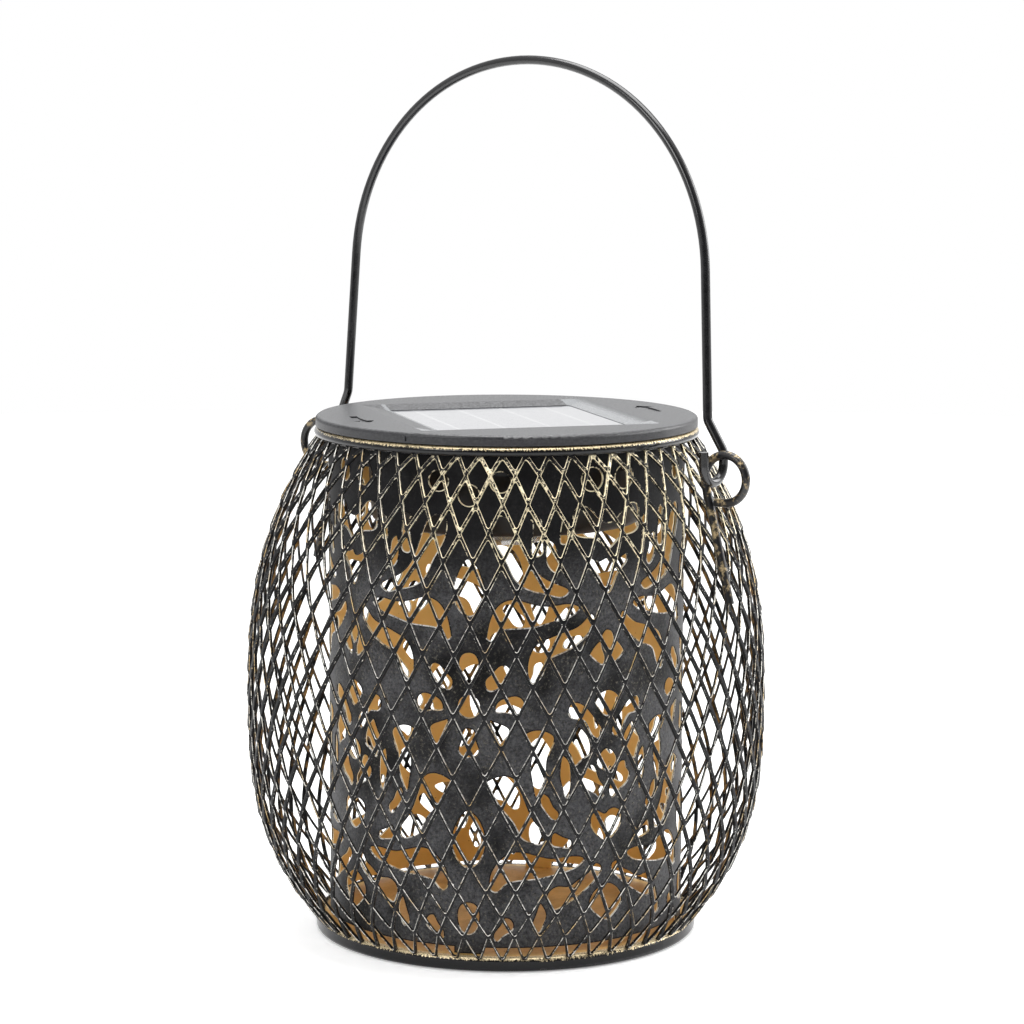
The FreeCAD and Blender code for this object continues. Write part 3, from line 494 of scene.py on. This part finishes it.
def mesh_finish():
    """Black paint, worn to silver on its edges and given a dry brush of gold, and gold dust from
    the sleeve's spraying on the inward faces. Walls that face up, the top and one side get
    more silver and gold as painted highlight."""
    f = Finish("antiqued_mesh", Specular_IOR_Level=0.16)
    rubbed = f.nodes.new("ShaderNodeAttribute")
    rubbed.attribute_name = "rubbed"
    edges = rubbed.outputs["Fac"]
    # dry brush gold, heaped on top and on one side, where it is also painted highlight
    brush_and_highlight = brush_and_highlight_share(f)
    grit = f.noise(1.3, 4.0, rough=0.7)
    wear_and_highlight = f.sum("ADD", edges, f.span(grit, 0.3, 0.7, -0.55, 0.2))
    wear_and_highlight = f.sum("ADD", wear_and_highlight, f.sum("MULTIPLY", brush_and_highlight, 0.55))
    # painted highlight: more silver and gold towards the top
    wear_and_highlight = f.sum("ADD", wear_and_highlight, f.height(RUB_AND_HIGHLIGHT_Z, 0.0, 0.14))
    wear_and_highlight = f.sum("ADD", wear_and_highlight, f.span(f.noise(0.5, 2.0), 0.62, 0.72, 0.0, 0.45))
    share = f.span(wear_and_highlight, 0.55, 0.95)
    tint = f.blend(f.span(f.noise(9.0, 3.0), 0.48, 0.66), SILVER, GOLD)
    tint = f.blend(f.span(brush_and_highlight, 0.1, 0.6), tint, CREAM)
    inner = f.span(f.outwardness(), -0.75, -0.25, 1.0, 0.0)
    inner = f.sum("MULTIPLY", inner, f.span(f.noise(5.0, 3.0), 0.44, 0.66))
    paint = f.blend(inner, f.blend(f.noise(2.0), JET, BLACK), (0.38, 0.21, 0.065))
    f.colour(f.blend(share, paint, tint))
    f.metal(f.span(share, 0.0, 1.0, 0.0, 0.55))
    f.rough(f.span(share, 0.0, 1.0, 0.34, 0.4))
    f.bump(f.noise(0.25, 3.0), 0.05)
    return f


def ring_finish():
    """Black enamel beads with gold dry brush along their crests, laid most on their upward faces and on
    one side, which is partly painted highlight.
    """
    f = Finish("antiqued_ring", Specular_IOR_Level=0.3)
    # gold on upward faces and on one side: partly brushing on the crests, partly painted highlight
    crest_and_highlight = f.span(f.dot(f.facing, (0.0, 0.0, 1.0)), 0.0, 0.8)
    streak = f.noise(0.5, 4.0, stretch=(1.0, 1.0, 0.12), rough=0.7)
    side = f.dot(f.place, tuple(c / (END_RADIUS * MM) for c in BRUSH_AND_LIGHT_SIDE))
    wear_and_highlight = f.sum("ADD", crest_and_highlight, f.span(streak, 0.3, 0.7, -0.7, 0.32))
    wear_and_highlight = f.sum("ADD", wear_and_highlight, f.span(side, -0.4, 0.6, -0.5, 0.1))
    share = f.span(wear_and_highlight, 0.45, 0.8)
    f.colour(f.blend(share, f.blend(f.noise(3.0), JET, BLACK), f.blend(streak, GOLD, CREAM)))
    f.metal(f.span(share, 0.0, 1.0, 0.0, 0.6))
    f.rough(f.span(share, 0.0, 1.0, 0.16, 0.36))
    f.bump(f.noise(2.5, 2.0), 0.02)
    return f


def sleeve_finish():
    """Black outside with fine gold dust, ochre inside, bright where the tin is cut; the dust and worn
    patches fade out towards the top as painted shade under the lid.
    """
    f = Finish("sleeve_paint", Specular_IOR_Level=0.1)
    radius = f.from_axis("LENGTH")
    outside = f.span(radius, (SLEEVE_RADIUS - 0.25) * MM, (SLEEVE_RADIUS - 0.15) * MM)
    inside = f.span(radius, SLEEVE_BORE * MM, (SLEEVE_BORE + 0.06) * MM, 1.0, 0.0)
    dust = f.span(f.noise(0.8, 5.0, rough=0.8), 0.52, 0.72)
    # painted shade under the lid: dust and worn patches fade out towards the top, leaving that band
    # darker
    below = f.height(LID_SHADE_Z, 1.0, 0.12)
    cloud = f.sum("MULTIPLY", f.span(f.noise(9.0, 3.0), 0.35, 0.7, 0.25, 0.8), below)
    dust = f.sum("MULTIPLY", dust, cloud)
    patch = f.sum("MULTIPLY", f.span(f.noise(24.0, 3.0), 0.34, 0.60), below)
    worn = f.sum("MULTIPLY", patch, f.span(f.noise(0.9, 4.0, rough=0.75), 0.3, 0.7, 0.25, 1.0))
    black = f.blend(worn, f.blend(f.noise(4.0), JET, BLACK), (0.090, 0.090, 0.095))
    black = f.blend(dust, black, (0.22, 0.20, 0.15))
    ochre = f.blend(f.noise(6.0, 4.0), OCHRE, (0.84, 0.54, 0.18))
    ochre = f.blend(f.span(f.noise(0.8, 4.0), 0.66, 0.78), ochre, (0.24, 0.12, 0.03))
    cut = f.blend(f.span(f.noise(1.5, 3.0), 0.5, 0.7), (0.98, 0.92, 0.74), CREAM)
    f.colour(f.blend(outside, f.blend(inside, cut, ochre), black))
    f.metal(f.span(outside, 0.0, 1.0, 0.15, 0.0))
    f.rough(f.span(outside, 0.0, 1.0, 0.45, 0.48))
    f.bump(f.noise(0.5, 4.0), 0.04)
    return f


def plain_finish(name, base, other, roughness, grain_mm, bump_mm, metallic=0.0, spots=None, **constants):
    """A colour that drifts between two shades, with grain in its gloss and surface."""
    f = Finish(name, **constants)
    drift = f.blend(f.span(f.noise(grain_mm * 12, 3.0), 0.3, 0.7), base, other)
    grain = f.noise(grain_mm, 4.0, rough=0.65)
    if spots:
        drift = f.blend(f.span(grain, 0.62, 0.74), drift, spots)
    f.colour(drift)
    f.rough(f.span(grain, 0.25, 0.75, roughness - 0.06, roughness + 0.06))
    f.metal(metallic)
    f.bump(grain, bump_mm)
    return f


def eye_finish():
    """Bent wire: black paint that the bail and the brush have worn to old gold, laid on the faces that
    look up and to the front, where it is partly painted highlight.
    """
    f = Finish("eye_paint", Specular_IOR_Level=0.5)
    streak = f.noise(1.1, 4.0, rough=0.7)
    share = f.span(f.sum("ADD", streak, f.span(f.noise(4.0, 2.0), 0.3, 0.7, -0.15, 0.15)), 0.50, 0.74)
    # painted highlight: the gold is kept to faces that look up and towards the front; the streaks
    # themselves are wear
    up = f.span(f.dot(f.facing, (0.25, -0.35, 0.9)), -0.2, 0.8, 0.15, 1.0)
    share = f.sum("MULTIPLY", share, up)
    f.colour(f.blend(share, BLACK, (0.58, 0.44, 0.24)))
    f.metal(f.span(share, 0.0, 1.0, 0.1, 0.6))
    f.rough(0.28)
    f.bump(f.noise(0.5, 3.0), 0.05)
    return f


def panel_finish():
    """Dark cells with fine collector lines, under clear glossy resin."""
    f = Finish("panel_face", Coat_Weight=1.0, Coat_Roughness=0.04, Coat_IOR=1.7, Specular_IOR_Level=0.6)
    across, along = f.across_panel()

    def lines(value, pitch, width):
        return f.sum("LESS_THAN", f.sum("PINGPONG", value, pitch * MM / 2), width * MM / 2)

    cells = lines(f.sum("ADD", across, 0.1), CELL_PITCH, CELL_GAP)
    fingers = lines(along, FINGER_PITCH, FINGER_WIDTH)
    marks = f.sum("MAXIMUM", cells, f.sum("MULTIPLY", fingers, 0.5))
    cell = f.blend(f.noise(2.5, 3.0), (0.010, 0.014, 0.035), (0.022, 0.028, 0.060))
    f.colour(f.blend(marks, cell, (0.34, 0.35, 0.36)))
    f.rough(f.span(f.noise(3.0), 0.3, 0.7, 0.10, 0.16))
    f.bump(f.noise(8.0, 2.0), 0.004)
    return f


def lid_finish():
    """Grey plastic with a fine spark texture, coloured paler on faces that look up as a painted sheen,
    and clear resin run over the panel's recess, coloured lighter grey and part metallic as a painted
    reflection.
    """
    f = Finish("lid_plastic", Specular_IOR_Level=0.55)
    across, along = f.across_panel()
    inside = f.sum("MAXIMUM", f.sum("ABSOLUTE", across), f.sum("ABSOLUTE", along))
    inside = f.sum("LESS_THAN", inside, RECESS_HALF * MM)
    inside = f.sum("MULTIPLY", inside, f.sum("GREATER_THAN", f.axis("Z"), RECESS_MID_Z * MM))
    fade = f.span(across, (PANEL_EDGE + RESIN_AND_GLARE_FADE) * MM, (RECESS_HALF - 0.2) * MM, 1.0, 0.1)
    right = f.sum("MULTIPLY", f.sum("GREATER_THAN", across, PANEL_EDGE * MM), fade)
    run = f.sum("MAXIMUM", right, f.sum("LESS_THAN", along, -PANEL_EDGE * MM))
    run = f.sum("MAXIMUM", run, f.sum("COMPARE", across, -RESIN_AND_GLARE_SEAM * MM))
    # painted reflection: the clear resin patch is coloured lighter grey and made part metallic; only its
    # low roughness is the resin's own gloss
    resin = f.sum("MULTIPLY", inside, run)
    grain = f.noise(0.6, 4.0, rough=0.75)
    # painted sheen: faces that look up are coloured paler than the sides, and so are their sparks
    up = f.span(f.dot(f.facing, (0.0, 0.0, 1.0)), 0.6, 0.95)
    pale = f.blend(up, (0.022, 0.022, 0.025), (0.135, 0.137, 0.142))
    plastic = f.blend(f.span(grain, 0.42, 0.62), (0.006, 0.006, 0.008), pale)
    f.colour(f.blend(resin, plastic, (0.20, 0.21, 0.22)))
    f.rough(f.span(resin, 0.0, 1.0, f.span(grain, 0.3, 0.7, 0.32, 0.5), 0.16))
    f.metal(f.sum("MULTIPLY", resin, 0.35))
    f.bump(grain, 0.06)
    return f


def board_finish():
    """Green solder mask over copper tracks."""
    f = Finish("board_green", Specular_IOR_Level=0.5)
    tracks = f.sum("LESS_THAN", f.sum("PINGPONG", f.axis("X"), 0.0011), 0.0003)
    tracks = f.sum("MULTIPLY", tracks, f.span(f.noise(3.0, 1.0), 0.45, 0.5))
    f.colour(f.blend(tracks, (0.01, 0.09, 0.03), (0.03, 0.20, 0.07)))
    f.rough(0.35)
    f.bump(tracks, 0.03)
    return f


def cell_finish():
    """A printed wrap: a dark green body with a silver band, and no lettering."""
    f = Finish("cell_wrap", Specular_IOR_Level=0.5)
    band = f.sum("GREATER_THAN", f.axis("X"), 0.008)
    scuff = f.noise(1.5, 3.0)
    f.colour(f.blend(band, f.blend(scuff, (0.01, 0.10, 0.03), (0.02, 0.15, 0.05)), (0.5, 0.5, 0.5)))
    f.rough(f.span(scuff, 0.3, 0.7, 0.25, 0.38))
    f.bump(scuff, 0.01)
    return f


def finishes():
    """Every material slot of the record, by its name."""
    dark = {"Specular_IOR_Level": 0.35}
    made = [
        mesh_finish(),
        ring_finish(),
        sleeve_finish(),
        eye_finish(),
        panel_finish(),
        board_finish(),
        cell_finish(),
        plain_finish("gold_paint", (0.62, 0.38, 0.12), (0.42, 0.24, 0.07), 0.42, 0.9, 0.05, 0.2,
                     spots=(0.05, 0.03, 0.015)),
        plain_finish("bail_paint", JET, BLACK, 0.2, 2.0, 0.008, Specular_IOR_Level=0.6),
        lid_finish(),
        plain_finish("tub_plastic", (0.010, 0.010, 0.011), SOOT, 0.42, 0.6, 0.03, **dark),
        plain_finish("seal_rubber", (0.02, 0.02, 0.02), (0.03, 0.03, 0.03), 0.7, 0.5, 0.03, **dark),
        plain_finish("screw_steel", (0.45, 0.44, 0.42), (0.36, 0.35, 0.34), 0.35, 0.4, 0.02, 1.0),
        plain_finish("spring_steel", (0.60, 0.58, 0.54), (0.50, 0.48, 0.45), 0.3, 0.4, 0.02, 1.0),
        plain_finish("component_black", (0.02, 0.02, 0.022), (0.035, 0.035, 0.035), 0.5, 0.4, 0.03),
        plain_finish("lead_red", (0.35, 0.02, 0.015), (0.25, 0.012, 0.01), 0.45, 0.8, 0.02),
        plain_finish("switch_plastic", (0.03, 0.03, 0.03), (0.05, 0.05, 0.05), 0.5, 0.5, 0.02),
        plain_finish("slider_plastic", (0.45, 0.45, 0.44), (0.36, 0.36, 0.35), 0.5, 0.4, 0.03),
        plain_finish("lamp_epoxy", (0.85, 0.80, 0.55), (0.75, 0.70, 0.45), 0.18, 0.8, 0.01,
                     Transmission_Weight=0.5, IOR=1.5),
        plain_finish("lens_clear", (0.95, 0.95, 0.93), (0.90, 0.90, 0.88), 0.10, 1.5, 0.03,
                     Transmission_Weight=0.95, IOR=1.49),
    ]
    return {f.name: f.material for f in made}


# --------------------------------------------------------------------------------- build


def paint_frame(paints):
    """Gives every CAD node the finish of its own material slot."""
    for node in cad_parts.values():
        for slot in node.material_slots:
            slot.material = paints[slot.material.name.split(".")[0]]


def add_lattice(paints):
    lattice = Lattice().build("barrel_lattice")
    lattice.data.materials.append(paints["antiqued_mesh"])
    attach(lattice, "lantern_body")
    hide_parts("mesh_barrel")


def cut_edges(sheet):
    """The edges where the sleeve's outside meets a cut wall, each with that wall's normal."""
    def is_outside(face):
        middle = face.calc_center_median()
        return face.normal.dot(Vector((middle.x, middle.y, 0)).normalized()) > 0.9

    def on_outside(vertex):
        return abs(vertex.co.xy.length - SLEEVE_RADIUS * MM) < SKIN_NEAR * MM

    found = {}
    for edge in sheet.edges:
        walls = [face for face in edge.link_faces if not is_outside(face)]
        if len(edge.link_faces) == 2 and len(walls) == 1 and all(map(on_outside, edge.verts)):
            found[edge] = walls[0].normal.copy()
    return found


def rim_rounds(sheet):
    """Closed rounds of (place, outward, way into the opening) along the sleeve's cut edges."""
    into = cut_edges(sheet)
    left = dict(into)
    while left:
        edge, _ = left.popitem()
        start, vertex = edge.verts
        round_ = [(vertex, edge)]
        while vertex != start:
            on = [e for e in vertex.link_edges if e in left]
            if not on:
                break
            edge = on[0]
            del left[edge]
            vertex = edge.other_vert(vertex)
            round_.append((vertex, edge))
        if vertex == start and len(round_) > 8:
            points = []
            for (vertex, edge), (_, on) in zip(round_, round_[1:] + round_[:1]):
                way = (into[edge] + into[on]).normalized()
                outward = Vector((vertex.co.x, vertex.co.y, 0)).normalized()
                points.append((vertex.co.copy(), outward, way))
            yield points


def add_rims(paints):
    """A worn bead along every cut edge of the sleeve: brightest where the edge faces up, which is
    painted highlight.
    """
    sheet = bmesh.new()
    sheet.from_mesh(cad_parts["pattern_sleeve"].data)
    bmesh.ops.remove_doubles(sheet, verts=sheet.verts, dist=1e-7)
    shape = bmesh.new()
    rubbed = shape.faces.layers.float.new("rubbed")
    for points in rim_rounds(sheet):
        rings = []
        for place, outward, way in points:
            rings.append([
                shape.verts.new(place + (way * into + outward * out) * MM)
                for into, out in RIM_SECTION
            ])
        for i, (_, _, way) in enumerate(points):
            # painted highlight: edges that face up are brightest, those facing down darkest
            wear_and_highlight = 1.0 if way.z > 0.3 else 0.55 if way.z > -0.3 else 0.3
            for k in range(len(RIM_SECTION)):
                quad = [rings[i - 1][k - 1], rings[i - 1][k], rings[i][k], rings[i][k - 1]]
                shape.faces.new(quad)[rubbed] = wear_and_highlight
    sheet.free()
    bmesh.ops.recalc_face_normals(shape, faces=shape.faces)
    mesh = bpy.data.meshes.new("sleeve_rims")
    shape.to_mesh(mesh)
    shape.free()
    mesh.polygons.foreach_set("use_smooth", [True] * len(mesh.polygons))
    rims = bpy.data.objects.new("sleeve_rims", mesh)
    bpy.context.scene.collection.objects.link(rims)
    mesh.materials.append(paints["antiqued_mesh"])
    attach(rims, "lantern_body")


def add_floor():
    """A round pale floor under the lantern."""
    shape = bmesh.new()
    bmesh.ops.create_circle(shape, cap_ends=True, segments=128, radius=1.4)
    mesh = bpy.data.meshes.new("floor")
    shape.to_mesh(mesh)
    shape.free()
    floor = bpy.data.objects.new("floor", mesh)
    floor.location.z = -0.0002
    bpy.context.scene.collection.objects.link(floor)
    glow = {"Emission_Color": (1.0, 1.0, 1.0, 1.0), "Emission_Strength": 0.3}
    f = Finish("floor_paper", Specular_IOR_Level=0.1, **glow)
    f.colour(f.blend(f.noise(6.0), (0.93, 0.93, 0.93), (0.90, 0.90, 0.90)))
    f.rough(0.8)
    mesh.materials.append(f.material)


def add_softbox(name, place, size, watts, target=(0.0, 0.0, 0.09)):
    """A square lamp that looks at the lantern."""
    lamp = bpy.data.lights.new(name, "AREA")
    lamp.size = size
    lamp.energy = watts
    holder = bpy.data.objects.new(name, lamp)
    holder.location = place
    holder.rotation_mode = "QUATERNION"
    holder.rotation_quaternion = (Vector(place) - Vector(target)).to_track_quat("Z", "Y")
    bpy.context.scene.collection.objects.link(holder)


def seen_from_camera(right, up, away):
    """A place given from the camera's side, in the row frame."""
    c, s = math.cos(CAMERA_AZIMUTH), math.sin(CAMERA_AZIMUTH)
    return Vector((right * c - away * s, right * s + away * c, up))


def add_studio():
    """Bright behind, above and at the sides, dim on the camera's side, as in a light tent with
    an opening for the lens: black paint stays black but gets bright outlines. The backdrop
    itself is white from every side."""
    world = bpy.data.worlds.new("studio")
    world.use_nodes = True
    nodes, links = world.node_tree.nodes, world.node_tree.links
    place = nodes.new("ShaderNodeTexCoord")
    toward = nodes.new("ShaderNodeVectorMath")
    toward.operation = "DOT_PRODUCT"
    toward.inputs[1].default_value = seen_from_camera(0.0, -0.1, -1.0).normalized()
    level = nodes.new("ShaderNodeMapRange")
    level.interpolation_type = "SMOOTHSTEP"
    for name, value in (("From Min", 0.15), ("From Max", 0.85), ("To Min", 1.0), ("To Max", DIM_SIDE)):
        level.inputs[name].default_value = value
    links.new(place.outputs["Generated"], toward.inputs[0])
    links.new(toward.outputs["Value"], level.inputs["Value"])
    seen = nodes.new("ShaderNodeLightPath")
    strength = nodes.new("ShaderNodeMath")
    strength.operation = "MAXIMUM"
    links.new(level.outputs["Result"], strength.inputs[0])
    links.new(seen.outputs["Is Camera Ray"], strength.inputs[1])
    links.new(strength.outputs["Value"], nodes["Background"].inputs["Strength"])
    nodes["Background"].inputs["Color"].default_value = (1.0, 1.0, 1.0, 1.0)
    bpy.context.scene.world = world
    bpy.context.scene.view_settings.view_transform = "Standard"
    add_softbox("top_box", seen_from_camera(0.05, 0.95, 0.05), 0.7, 10.0)
    add_softbox("right_box", seen_from_camera(0.75, 0.45, 0.25), 0.5, 5.0)
    add_softbox("left_box", seen_from_camera(-0.6, 0.6, -0.7), 0.4, 3.0)


def add_camera():
    data = bpy.data.cameras.new("camera")
    data.lens = CAMERA_LENS
    data.sensor_width = 36.0
    data.clip_start = 0.01
    data.clip_end = 20.0
    camera = bpy.data.objects.new("camera", data)
    camera.location = seen_from_camera(CAMERA_ASIDE, CAMERA_UP, -CAMERA_AWAY)
    level = math.cos(CAMERA_PITCH)
    back = seen_from_camera(0.0, math.sin(CAMERA_PITCH), -level)
    camera.rotation_mode = "QUATERNION"
    roll = Quaternion((0, 0, 1), CAMERA_ROLL)
    camera.rotation_quaternion = back.to_track_quat("Z", "Y") @ roll
    bpy.context.scene.collection.objects.link(camera)
    bpy.context.scene.camera = camera


def main():
    paints = finishes()
    paint_frame(paints)
    add_lattice(paints)
    add_rims(paints)
    add_floor()
    add_studio()
    add_camera()


main()
